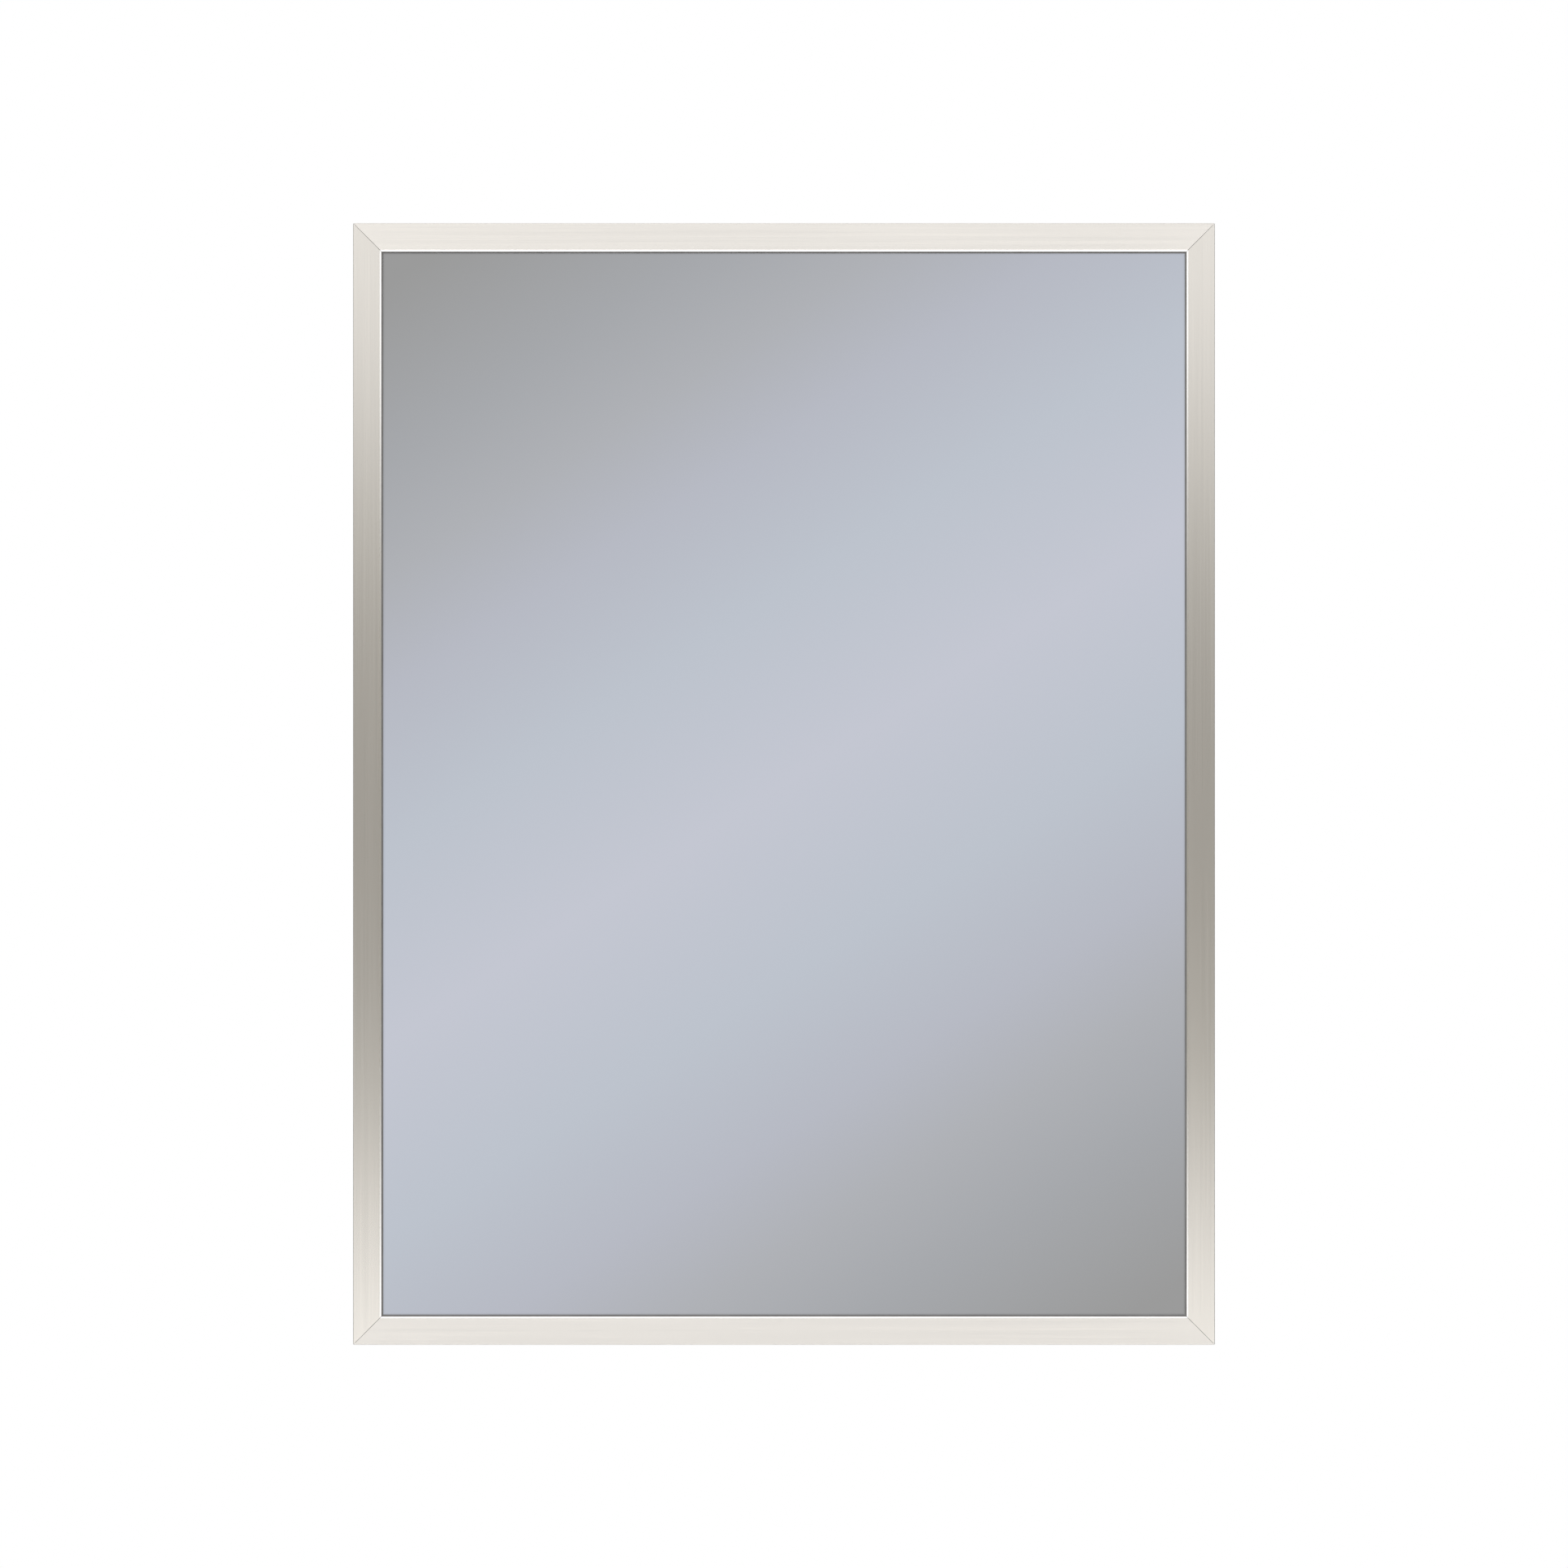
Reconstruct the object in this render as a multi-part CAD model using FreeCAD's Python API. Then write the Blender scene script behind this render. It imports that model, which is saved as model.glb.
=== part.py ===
"""Wall-hung medicine cabinet: a shallow sheet-aluminium body with three glass shelves, closed by one
mirrored door in a mitred metal frame.

The row frame is in millimetres. The origin is the middle of the back panel's rear face, which lies on the
wall. +X is to the right of a person facing the door, +Y goes into the wall and +Z is up.

The door turns about two pins hidden in its left stile. A cranked arm on the cabinet's side wall reaches into
a pocket in the door and carries each pin, so that nothing of the hinge shows when the door is shut.

Places in the door are often given as "in", the distance inwards from the door's outer edge, and "deep", the
distance back from the door's front face.
"""

import FreeCAD
import Part

import math
import os

V = FreeCAD.Vector
X, Y, Z = V(1, 0, 0), V(0, 1, 0), V(0, 0, 1)

# ---- driving dimensions, in mm ----

DOOR_W = 587.0  # outside of the door's frame
DOOR_H = 764.0
DOOR_T = 21.0
DOOR_GAP = 3.0  # between the door's back and the body's front edge
OVERHANG = 10.0  # the door stands past the body on every side

BODY_D = 93.0
BACK_MIRROR_T = 3.0
BOARD_T = 3.0  # what the board behind the back mirror stands out from the folded edges
SHEET = 2.0  # folded aluminium of the body
BACK_SHEET = 1.5
FOLD = 15.0  # width of the body's folded edges
TAB_Y = (-80.0, -20.0)  # the tabs at the ends of the top and bottom
LOOSE = 0.5  # gap round the pieces laid into the back

# Frame extrusion of the door
FACE = 19.2  # width seen from the front, bevel included
FACE_T = 2.2
WEB_T = 2.2
LIP = 6.0
LIP_T = 1.8
BEVEL_IN, BEVEL_DEEP = 1.0, 0.27  # shallow bevel along the inner edge of the face
EDGE = 0.3  # small chamfer on the outer edges
MITRE_GAP = 0.24

# Door filling
SEAL_T = 0.6
SEAL_SHOWN = 1.1  # the part of the seal that shows inside the face
SEAL_BEAD = 1.4  # depth of the seal's visible bead
SEAL_TUCK = 1.0  # from the edge of the filling to the seal's outer edge
DOOR_GLASS = 4.0
INNER_GLASS = 3.0
GROUND = 0.5  # chamfer round the sheets of mirror glass
PANEL_CLEAR = 2.2  # between the frame's web and the filling
KEY_T, KEY_W, KEY_LEG = 2.0, 12.0, 45.0

# Hinges, at this height above and below the middle. The "from the door" places are measured back from the
# plane of the shut door's back.
HINGE_Z = 280.0
PIN_IN, PIN_DEEP = 6.0, 13.0  # the pin's place in the door
PIN_R = 1.5
RUNNING = 0.05
EYE_R = 3.3
ARM_T = 4.0
ARM_H = 16.0
ARM_REACH = 13.0  # from the pin's middle to the middle of the arm's tail
LEG_FRONT = 3.0  # how far the arm's leg stands in front of the pin's middle
TAIL_END = 60.0  # from the door
ELBOW_R, TAIL_R = 2.4, 5.0
BASE_FLOOR = 1.0  # what the screw holes leave of the base
BASE_START = 24.0  # from the door
BASE_H = 20.0
WING_T, WING_W, WING_H, WING_R = 3.0, 14.0, 52.0, 4.0
WING_AT = 37.0  # from the door to the middle of the base's wings
CLAMP_AT, ADJUST_AT = 36.0, 52.0  # from the door to the arm's screws
CLAMP_R, CLAMP_HEAD_R, CLAMP_HEAD_T = 2.5, 4.6, 2.8
ADJUST_R, ADJUST_SUNK = 2.2, 0.6
ADJUST_SLOT_W, ADJUST_SLOT_D = 0.8, 1.2
SLOT_CLEAR, SLOT_TRAVEL = 0.2, 2.0  # round the clamp screw, and each way along the arm
POCKET_H = 18.0
NOTCH_CLEAR = 1.0  # the notch in the stile's lip is this much larger than the pocket, each way
CHEEK = 3.0
HOUSING_IN = 27.0  # how far the housing goes into the door
HOUSING_WALL = 1.4
HOUSING_PLATE_IN, HOUSING_PLATE_H, HOUSING_PLATE_T = 33.0, 50.0, 1.2
HOUSING_PLATE_R = 6.0
FIT_GAP = 0.4  # between the housing and the stile

# Shelves
SHELF_T = 6.0
SHELF_CORNER_R, SHELF_GROUND = 6.0, 0.8
SHELF_X = 275.0
SHELF_FRONT, SHELF_BACK = -82.0, -13.0
SHELF_PINS_Z = (-160.0, 0.0, 160.0)
SHELF_NAMES = ("lower", "middle", "upper")
PIN_PITCH = 32.0
STANDARD_HALF = 245.0
STANDARD_W, STANDARD_D, STANDARD_T = 16.0, 4.5, 1.2
STANDARD_Y = {"front": -72.0, "rear": -25.0}
SUPPORT_R = 2.5

# Wall fixing
RAIL_H = 34.0
RAIL_D = 6.0
RAIL_SHORT = 1.5  # how far each end stops short of the side panel
STUD_SPACING = 406.4
WALL_HOLE_Z = 348.0
WALL_HOLE_R = 3.0
SIDE_HOLE_Y, SIDE_HOLE_Z, SIDE_HOLE_R = -48.0, 330.0, 2.75

# ---- worked out from them ----

BODY_X = DOOR_W / 2 - OVERHANG  # half the body's outside width
BODY_Z = DOOR_H / 2 - OVERHANG
IN_X, IN_Z = BODY_X - SHEET, BODY_Z - SHEET
DOOR_BACK = -(BODY_D + DOOR_GAP)
DOOR_FRONT = DOOR_BACK - DOOR_T
FOLD_FRONT = -(BACK_SHEET + SHEET)  # front face of the folded edges at the back
MIRROR_BACK = FOLD_FRONT - BOARD_T
MIRROR_FRONT = MIRROR_BACK - BACK_MIRROR_T

SEAL_DEEP = FACE_T + SEAL_T
GLASS_BACK = SEAL_DEEP + DOOR_GLASS
LIP_FRONT = DOOR_T - LIP_T  # depth of the inner mirror's back face, under the lips
CORE_BACK = LIP_FRONT - INNER_GLASS
PANEL_IN = WEB_T + PANEL_CLEAR
FILLING_X, FILLING_Z = DOOR_W / 2 - PANEL_IN, DOOR_H / 2 - PANEL_IN  # half the filling's sizes
PIN_X = -DOOR_W / 2 + PIN_IN
PIN_Y = DOOR_FRONT + PIN_DEEP
ARM_X = PIN_X + ARM_REACH  # middle of the arm's tail
WING_Y = DOOR_BACK + WING_AT
CLAMP_Y, ADJUST_Y = DOOR_BACK + CLAMP_AT, DOOR_BACK + ADJUST_AT
HOUSING_FRONT = GLASS_BACK + 0.6  # deep
HOUSING_TOP = LIP_FRONT + HOUSING_PLATE_T  # deep: the plate's face
POCKET_CLEAR = 0.5  # round the housing in the filling
HOUSING_SCREWS = [(a, b) for a in (11.0, 27.0) for b in (-18.0, 18.0)]  # in, and along Z

SMALL = 1.0  # how far a cutting tool stands past what it cuts


# ---- helpers ----


def box(x, y, z):
    """A box between two values on each axis."""
    low = V(min(x), min(y), min(z))
    size = (max(a) - min(a) for a in (x, y, z))
    return Part.makeBox(*size, low)


def rod(r, start, end):
    """A cylinder from one point to another."""
    start, end = V(*start), V(*end)
    return Part.makeCylinder(r, (end - start).Length, start, end - start)


def prism(points, direction):
    """A closed outline of straight edges, extruded."""
    corners = [V(*p) for p in points]
    wire = Part.makePolygon(corners + corners[:1])
    return Part.Face(wire).extrude(direction)


def fused(shapes):
    """Several touching shapes as one clean solid."""
    first, *rest = shapes
    return first.fuse(rest).removeSplitter() if rest else first


def group(shapes):
    """Several separate solids that share one node."""
    return Part.makeCompound(shapes)


def edges_at(shape, **place):
    """The straight edges of a shape that lie at the given value on two of the axes x, y and z."""
    names = {"x": ("XMin", "XMax"), "y": ("YMin", "YMax"), "z": ("ZMin", "ZMax")}
    return [
        e
        for e in shape.Edges
        if all(
            abs(getattr(e.BoundBox, end) - value) < 0.01
            for axis, value in place.items()
            for end in names[axis]
        )
    ]


def placed(shape, at, out):
    """A shape made along +Z at the origin, moved to a point with its +Z turned to a direction."""
    moved = shape.copy()
    moved.Placement = FreeCAD.Placement(V(*at), FreeCAD.Rotation(Z, out))
    return moved


def mirrored(shape, normal):
    return shape.mirror(V(0, 0, 0), normal)


def turned(shape, degrees):
    """Turned about the row's Y axis."""
    moved = shape.copy()
    moved.rotate(V(0, 0, 0), Y, degrees)
    return moved


def lifted(shape, dz):
    moved = shape.copy()
    moved.translate(V(0, 0, dz))
    return moved


def door_y(deep):
    return DOOR_FRONT + deep


def save(name, shape):
    for solid in shape.Solids:
        if not solid.isValid() or solid.Volume <= 0:
            raise ValueError(f"{name} holds a solid that isn't sound")
    shape.exportStep(f"parts/{name}.step")


# ---- fasteners, each with its head's outer face at the origin and its shank going down -Z ----


def cross_recess(size, depth):
    """The two slots of a cross recess, as a tool to cut with."""
    width = size * 0.28
    bars = [
        box((-size, size), (-width, width), (-depth, SMALL)),
        box((-width, width), (-size, size), (-depth, SMALL)),
    ]
    return fused(bars)


def flat_screw(r, head_r, length):
    """A countersunk screw."""
    depth = head_r - r
    head = Part.makeCone(r, head_r, depth, V(0, 0, -depth))
    shank = Part.makeCylinder(r, length - depth, V(0, 0, -length))
    return fused([head, shank]).cut(cross_recess(head_r * 0.6, depth * 0.6))


def pan_screw(r, head_r, head_t, length):
    """A screw with a raised round head, which starts at z = 0 and stands up by its thickness."""
    head = Part.makeCylinder(head_r, head_t)
    top = [e for e in head.Edges if e.BoundBox.ZMin > head_t - 0.01 and e.Closed]
    head = head.makeFillet(head_t * 0.45, top[:1])
    shank = Part.makeCylinder(r, length, V(0, 0, -length))
    recess = lifted(cross_recess(head_r * 0.55, head_t * 0.6), head_t)
    return fused([head, shank]).cut(recess)


def countersink(r, head_r, length):
    """The hole that a countersunk screw fills."""
    depth = head_r - r
    cone = Part.makeCone(r, head_r, depth, V(0, 0, -depth))
    hole = Part.makeCylinder(r, length, V(0, 0, -length))
    return cone.fuse(hole)


# ---- places that several pieces share ----

CORNER_SCREW = {"r": 2.0, "head_r": 3.6, "length": 2 * SHEET}
CORNER_SCREW_Y = (-70.0, -30.0)
BASE_SCREW = {"r": 2.0, "head_r": 3.8, "length": WING_T + SHEET}
BASE_SCREW_DZ = 20.0
HOUSING_SCREW = {"r": 1.5, "head_r": 2.7, "length": 9.0}
CATCH_SCREW_Y = -87.0
CATCH_SCREW_DZ = 27.0
CATCH_SCREW_R, CATCH_SCREW_HEAD_R, CATCH_SCREW_HEAD_T = 1.5, 2.8, 1.6
CATCH_WING_T, CATCH_WING_HALF = 2.5, 5.0
STANDARD_SCREW_Z = 238.0
STANDARD_SCREW_R, STANDARD_SCREW_HEAD_R, STANDARD_SCREW_HEAD_T = 1.6, 3.0, 1.8
RIVET_R, RIVET_HEAD_R = 1.6, 2.8
RIVET_CLOSED_R, RIVET_CLOSED_T = 2.5, 1.2
RIVET_SIDE_Z = (-300.0, -150.0, 0.0, 150.0, 300.0)
RIVET_END_X = (-130.0, 0.0, 130.0)
KEY_SCREW = {"r": 1.5, "head_r": 2.7, "length": WEB_T + KEY_T}
KEY_SCREW_ALONG = 35.0
KEY_SCREW_DEEP = 11.0


def corner_screw_places():
    """Where the side panels are screwed to the tabs of the top and bottom: point and outward direction."""
    tab_z = IN_Z - FOLD / 2
    for side in (-1, 1):
        for end in (-1, 1):
            for y in CORNER_SCREW_Y:
                yield (side * BODY_X, y, end * tab_z), V(side, 0, 0)


def rivet_places():
    """Where the back panel is riveted to the folded edges."""
    fold_x, fold_z = IN_X - FOLD / 2, IN_Z - FOLD / 2
    along_sides = [(s * fold_x, z) for s in (-1, 1) for z in RIVET_SIDE_Z]
    along_ends = [(x, s * fold_z) for s in (-1, 1) for x in RIVET_END_X]
    return along_sides + along_ends


def wall_hole_places():
    return [(sx * STUD_SPACING / 2, sz * WALL_HOLE_Z) for sx in (-1, 1) for sz in (-1, 1)]


def side_hole_places(side):
    """The plain holes of a side panel, as radius, y and z: fixing, standards, and hinges or catches."""
    holes = [(SIDE_HOLE_R, SIDE_HOLE_Y, s * SIDE_HOLE_Z) for s in (-1, 1)]
    for y in STANDARD_Y.values():
        holes += [(STANDARD_SCREW_R, y, s * STANDARD_SCREW_Z) for s in (-1, 1)]
    if side < 0:
        r, y, dz = BASE_SCREW["r"], WING_Y, BASE_SCREW_DZ
    else:
        r, y, dz = CATCH_SCREW_R, CATCH_SCREW_Y, CATCH_SCREW_DZ
    for h in (-HINGE_Z, HINGE_Z):
        holes += [(r, y, h + s * dz) for s in (-1, 1)]
    return holes


# ---- body ----


def side_panel(side):
    """One side of the body, folded inwards at the back. side is -1 on the left and 1 on the right."""
    front, rear = -BODY_D, -BACK_SHEET
    outline = [
        (IN_X, front + EDGE, 0),
        (IN_X + EDGE, front, 0),
        (BODY_X - EDGE, front, 0),
        (BODY_X, front + EDGE, 0),
        (BODY_X, rear - EDGE, 0),
        (BODY_X - EDGE, rear, 0),
        (IN_X - FOLD, rear, 0),
        (IN_X - FOLD, FOLD_FRONT, 0),
        (IN_X, FOLD_FRONT, 0),
    ]
    panel = lifted(prism(outline, V(0, 0, 2 * BODY_Z)), -BODY_Z)
    # the top and bottom sheets run over the folded edge
    for end in (-1, 1):
        z = (end * IN_Z, end * (BODY_Z + SMALL))
        panel = panel.cut(box((IN_X - FOLD - SMALL, IN_X), (FOLD_FRONT - SMALL, 0), z))
    seat = countersink(CORNER_SCREW["r"], CORNER_SCREW["head_r"], SHEET + SMALL)
    cuts = [placed(seat, at, out) for at, out in corner_screw_places() if at[0] > 0]
    for r, y, z in side_hole_places(side):
        cuts.append(rod(r, (IN_X - SMALL, y, z), (BODY_X + SMALL, y, z)))
    panel = panel.cut(cuts)
    return panel if side > 0 else mirrored(panel, X)


def end_panel(end):
    """The top (end 1) or bottom (end -1) of the body: a sheet folded at the back, with a tab at each side."""
    front, rear = -BODY_D, -BACK_SHEET
    outline = [
        (-IN_X, front + EDGE, IN_Z),
        (-IN_X, front, IN_Z + EDGE),
        (-IN_X, front, BODY_Z - EDGE),
        (-IN_X, front + EDGE, BODY_Z),
        (-IN_X, rear - EDGE, BODY_Z),
        (-IN_X, rear, BODY_Z - EDGE),
        (-IN_X, rear, IN_Z),
    ]
    sheet = prism(outline, V(2 * IN_X, 0, 0))
    fold_x = IN_X - FOLD
    fold = box((-fold_x, fold_x), (FOLD_FRONT, rear), (IN_Z - FOLD, IN_Z))
    tabs = [box((s * (IN_X - SHEET), s * IN_X), TAB_Y, (IN_Z - FOLD, IN_Z)) for s in (-1, 1)]
    panel = fused([sheet, fold, *tabs])
    cuts = []
    for at, _ in corner_screw_places():
        if at[2] > 0:
            inner = (IN_X - SHEET - SMALL) * math.copysign(1, at[0])
            cuts.append(rod(CORNER_SCREW["r"], (inner, at[1], at[2]), at))
    panel = panel.cut(cuts)
    return panel if end > 0 else mirrored(panel, Z)


def back_panel():
    panel = box((-BODY_X, BODY_X), (-BACK_SHEET, 0), (-BODY_Z, BODY_Z))
    front = -BACK_SHEET - SMALL
    holes = [rod(WALL_HOLE_R, (x, front, z), (x, SMALL, z)) for x, z in wall_hole_places()]
    seats = [
        placed(countersink(RIVET_R, RIVET_HEAD_R, BACK_SHEET + SMALL), (x, 0, z), Y)
        for x, z in rivet_places()
    ]
    return panel.cut(holes + seats)


def riveted(panel):
    """A body panel with the rivet holes through its folded edges."""
    return panel.cut([rod(RIVET_R, (x, FOLD_FRONT - SMALL, z), (x, 0, z)) for x, z in rivet_places()])


def back_rivets():
    """Blind rivets, flush in the back panel, with a closed head behind the folded edge."""
    grip = -FOLD_FRONT
    depth = RIVET_HEAD_R - RIVET_R
    head = Part.makeCone(RIVET_R, RIVET_HEAD_R, depth, V(0, 0, -depth))
    shank = Part.makeCylinder(RIVET_R, grip, V(0, 0, -grip))
    closed = Part.makeCylinder(RIVET_CLOSED_R, RIVET_CLOSED_T, V(0, 0, -grip - RIVET_CLOSED_T))
    rivet = fused([head, shank, closed])
    return group([placed(rivet, (x, 0, z), Y) for x, z in rivet_places()])


def corner_screws():
    screw = flat_screw(**CORNER_SCREW)
    return group([placed(screw, at, out) for at, out in corner_screw_places()])


def mounting_rail(end):
    """A channel across the back, above or below the back mirror, with the wall screw holes through it."""
    rail_front = FOLD_FRONT - RAIL_D
    low, high = IN_Z - RAIL_H, IN_Z
    reach = IN_X - RAIL_SHORT
    fold_x = IN_X - FOLD - LOOSE
    web = box((-reach, reach), (rail_front, rail_front + SHEET), (low, high))
    outer_leg = box((-reach, reach), (rail_front, FOLD_FRONT), (high - SHEET, high))
    inner_leg = box((-fold_x, fold_x), (rail_front, -BACK_SHEET), (low, low + SHEET))
    rail = fused([web, outer_leg, inner_leg])
    holes = [rod(WALL_HOLE_R, (x, rail_front - SMALL, z), (x, 0, z)) for x, z in wall_hole_places()]
    rail = rail.cut(holes)
    return rail if end > 0 else mirrored(rail, Z)


def back_board():
    """The board that fills the space between the back panel and the back mirror."""
    half_x, half_z = IN_X - FOLD - LOOSE, IN_Z - RAIL_H - 2 * LOOSE
    return box((-half_x, half_x), (MIRROR_BACK, -BACK_SHEET), (-half_z, half_z))


def mirror_sheet(half_x, y, half_z):
    """An upright sheet of mirror glass with a small ground chamfer round its front and back edges."""
    sheet = box((-half_x, half_x), y, (-half_z, half_z))
    return sheet.makeChamfer(GROUND, [e for e in sheet.Edges if e.BoundBox.YLength < 0.01])


def back_mirror():
    return mirror_sheet(IN_X - LOOSE, (MIRROR_FRONT, MIRROR_BACK), IN_Z - RAIL_H - LOOSE)


# ---- shelves ----


def standard(side, y):
    """A channel on the side wall with a row of holes for shelf pins."""
    wall, face = IN_X, IN_X - STANDARD_D
    half = STANDARD_W / 2
    span = (-STANDARD_HALF, STANDARD_HALF)
    web = box((face, face + STANDARD_T), (y - half, y + half), span)
    legs = [box((face, wall), (y + s * half, y + s * (half - STANDARD_T)), span) for s in (-1, 1)]
    channel = fused([web, *legs])
    rows = int((STANDARD_SCREW_Z - PIN_PITCH / 2) // PIN_PITCH)
    spots = [(SUPPORT_R + RUNNING, n * PIN_PITCH) for n in range(-rows, rows + 1)]
    spots += [(STANDARD_SCREW_R, s * STANDARD_SCREW_Z) for s in (-1, 1)]
    holes = [rod(r, (face - SMALL, y, z), (face + 2 * STANDARD_T, y, z)) for r, z in spots]
    channel = channel.cut(holes)
    return channel if side > 0 else mirrored(channel, X)


def standard_screws():
    face = IN_X - STANDARD_D
    screw = pan_screw(STANDARD_SCREW_R, STANDARD_SCREW_HEAD_R, STANDARD_SCREW_HEAD_T, BODY_X - face)
    return group(
        [
            placed(screw, (side * face, y, z), V(-side, 0, 0))
            for side in (-1, 1)
            for y in STANDARD_Y.values()
            for z in (-STANDARD_SCREW_Z, STANDARD_SCREW_Z)
        ]
    )


SPOON_T, SPOON_LENGTH, SPOON_W, SPOON_R = 2.0, 10.0, 12.0, 3.0
SPOON_TOP = 1.5  # above the pin's middle
RIB_T, RIB_H, RIB_LENGTH = 2.0, 3.0, 8.0
COLLAR_R, COLLAR_T = 4.0, 1.0
PAD_T, PAD_W = 0.8, 9.0
PAD_MARGIN = 1.0  # from the collar to the pad, and from the pad to the spoon's tip


def support(y, z):
    """One shelf pin on the right, with the flat spoon that carries the shelf."""
    face = IN_X - STANDARD_D
    inner = face - COLLAR_T
    pin = rod(SUPPORT_R, (inner, y, z), (face + 2 * STANDARD_T, y, z))
    collar = rod(COLLAR_R, (inner, y, z), (face, y, z))
    half = SPOON_W / 2
    tip = inner - SPOON_LENGTH
    top = z + SPOON_TOP
    under = top - SPOON_T
    spoon = box((tip, inner), (y - half, y + half), (under, top))
    corners = edges_at(spoon, x=tip, y=y - half) + edges_at(spoon, x=tip, y=y + half)
    side = y - RIB_T / 2
    rib = prism(
        [(inner, side, under), (inner, side, under - RIB_H), (inner - RIB_LENGTH, side, under)],
        V(0, RIB_T, 0),
    )
    return fused([pin, collar, spoon.makeFillet(SPOON_R, corners), rib])


def supports(z):
    right = [support(y, z) for y in STANDARD_Y.values()]
    return group(right + [mirrored(s, X) for s in right])


def shelf_pads():
    """A soft pad on each spoon."""
    inner = IN_X - STANDARD_D - COLLAR_T
    x = (inner - SPOON_LENGTH + PAD_MARGIN / 2, inner - PAD_MARGIN)
    pads = []
    for top in (z + SPOON_TOP for z in SHELF_PINS_Z):
        for y in STANDARD_Y.values():
            pad = box(x, (y - PAD_W / 2, y + PAD_W / 2), (top, top + PAD_T))
            pads += [pad, mirrored(pad, X)]
    return group(pads)


def shelf(z):
    """A tempered glass shelf with rounded front corners and ground edges."""
    under = z + SPOON_TOP + PAD_T
    plate = box((-SHELF_X, SHELF_X), (SHELF_FRONT, SHELF_BACK), (under, under + SHELF_T))
    front = [e for x in (-SHELF_X, SHELF_X) for e in edges_at(plate, x=x, y=SHELF_FRONT)]
    plate = plate.makeFillet(SHELF_CORNER_R, front)
    level = [e for e in plate.Edges if e.BoundBox.ZLength < 0.01]
    return plate.makeChamfer(SHELF_GROUND, level)


# ---- hinges ----


def from_door_edge(distance):
    """X of a place this far inwards from the left edge of the shut door."""
    return -DOOR_W / 2 + distance


def hinge_arm():
    """The cranked arm, at height 0: an eye on the pin, a leg across the pocket, then a straight tail."""
    half = ARM_H / 2
    height = (-half, half)
    outer, inner = ARM_X + ARM_T / 2, ARM_X - ARM_T / 2
    front, rear = PIN_Y - LEG_FRONT, DOOR_BACK + TAIL_END
    behind = front + ARM_T
    leg = box((PIN_X, outer), (front, behind), height)
    tail = box((inner, outer), (front, rear), height)
    arm = fused([leg, tail])
    elbow = edges_at(arm, x=outer, y=front) + edges_at(arm, x=inner, y=behind)
    arm = arm.makeFillet(ELBOW_R, elbow)
    arm = arm.makeFillet(TAIL_R, edges_at(arm, y=rear, z=half) + edges_at(arm, y=rear, z=-half))
    eye = rod(EYE_R, (PIN_X, PIN_Y, -half), (PIN_X, PIN_Y, half))
    bore = rod(PIN_R + RUNNING, (PIN_X, PIN_Y, -half - SMALL), (PIN_X, PIN_Y, half + SMALL))
    adjuster_hole = rod(ADJUST_R, (inner - SMALL, ADJUST_Y, 0), (outer + SMALL, ADJUST_Y, 0))
    return fused([arm, eye]).cut([bore, clamp_slot(), adjuster_hole])


def clamp_slot():
    """The slot that lets the arm slide on its base while the door is lined up."""
    x = (ARM_X - ARM_T, ARM_X + ARM_T)
    r = CLAMP_R + SLOT_CLEAR
    y = (CLAMP_Y - SLOT_TRAVEL, CLAMP_Y + SLOT_TRAVEL)
    ends = [rod(r, (x[0], end, 0), (x[1], end, 0)) for end in y]
    return fused([*ends, box(x, y, (-r, r))])


def hinge_base():
    """The plate on the side wall that the arm is clamped to, at height 0."""
    wall, face = -IN_X, ARM_X - ARM_T / 2
    top = wall + WING_T
    block = box((wall, face), (DOOR_BACK + BASE_START, DOOR_BACK + TAIL_END), (-BASE_H / 2, BASE_H / 2))
    wings = box((wall, top), (WING_Y - WING_W / 2, WING_Y + WING_W / 2), (-WING_H / 2, WING_H / 2))
    corners = [(WING_Y + a * WING_W / 2, b * WING_H / 2) for a in (-1, 1) for b in (-1, 1)]
    tips = [e for y, z in corners for e in edges_at(wings, y=y, z=z)]
    seat = countersink(BASE_SCREW["r"], BASE_SCREW["head_r"], BASE_SCREW["length"])
    cuts = [placed(seat, (top, WING_Y, s * BASE_SCREW_DZ), X) for s in (-1, 1)]
    for r, y in ((CLAMP_R, CLAMP_Y), (ADJUST_R, ADJUST_Y)):
        cuts.append(rod(r, (wall + BASE_FLOOR, y, 0), (face + SMALL, y, 0)))
    return fused([block, wings.makeFillet(WING_R, tips)]).cut(cuts)


def hinge_base_screws():
    """The screws of both bases, which end flush with the outside of the wall."""
    screw = flat_screw(**BASE_SCREW)
    return group(
        [
            placed(screw, (-IN_X + WING_T, WING_Y, h + s * BASE_SCREW_DZ), X)
            for h in (-HINGE_Z, HINGE_Z)
            for s in (-1, 1)
        ]
    )


def hinge_clamp_screws():
    """The screw that clamps each arm to its base."""
    face = ARM_X + ARM_T / 2
    screw = pan_screw(CLAMP_R, CLAMP_HEAD_R, CLAMP_HEAD_T, face + IN_X - BASE_FLOOR)
    return group([placed(screw, (face, CLAMP_Y, h), X) for h in (-HINGE_Z, HINGE_Z)])


def hinge_adjusting_screws():
    """The slotted headless screw behind each clamp screw, which tilts the arm."""
    head = ARM_X + ARM_T / 2 - ADJUST_SUNK
    length = head + IN_X - BASE_FLOOR
    screw = Part.makeCylinder(ADJUST_R, length, V(0, 0, -length))
    half = ADJUST_SLOT_W / 2
    slot = box((-half, half), (-ADJUST_R - SMALL, ADJUST_R + SMALL), (-ADJUST_SLOT_D, SMALL))
    screw = screw.cut(slot)
    return group([placed(screw, (head, ADJUST_Y, h), X) for h in (-HINGE_Z, HINGE_Z)])


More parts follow.
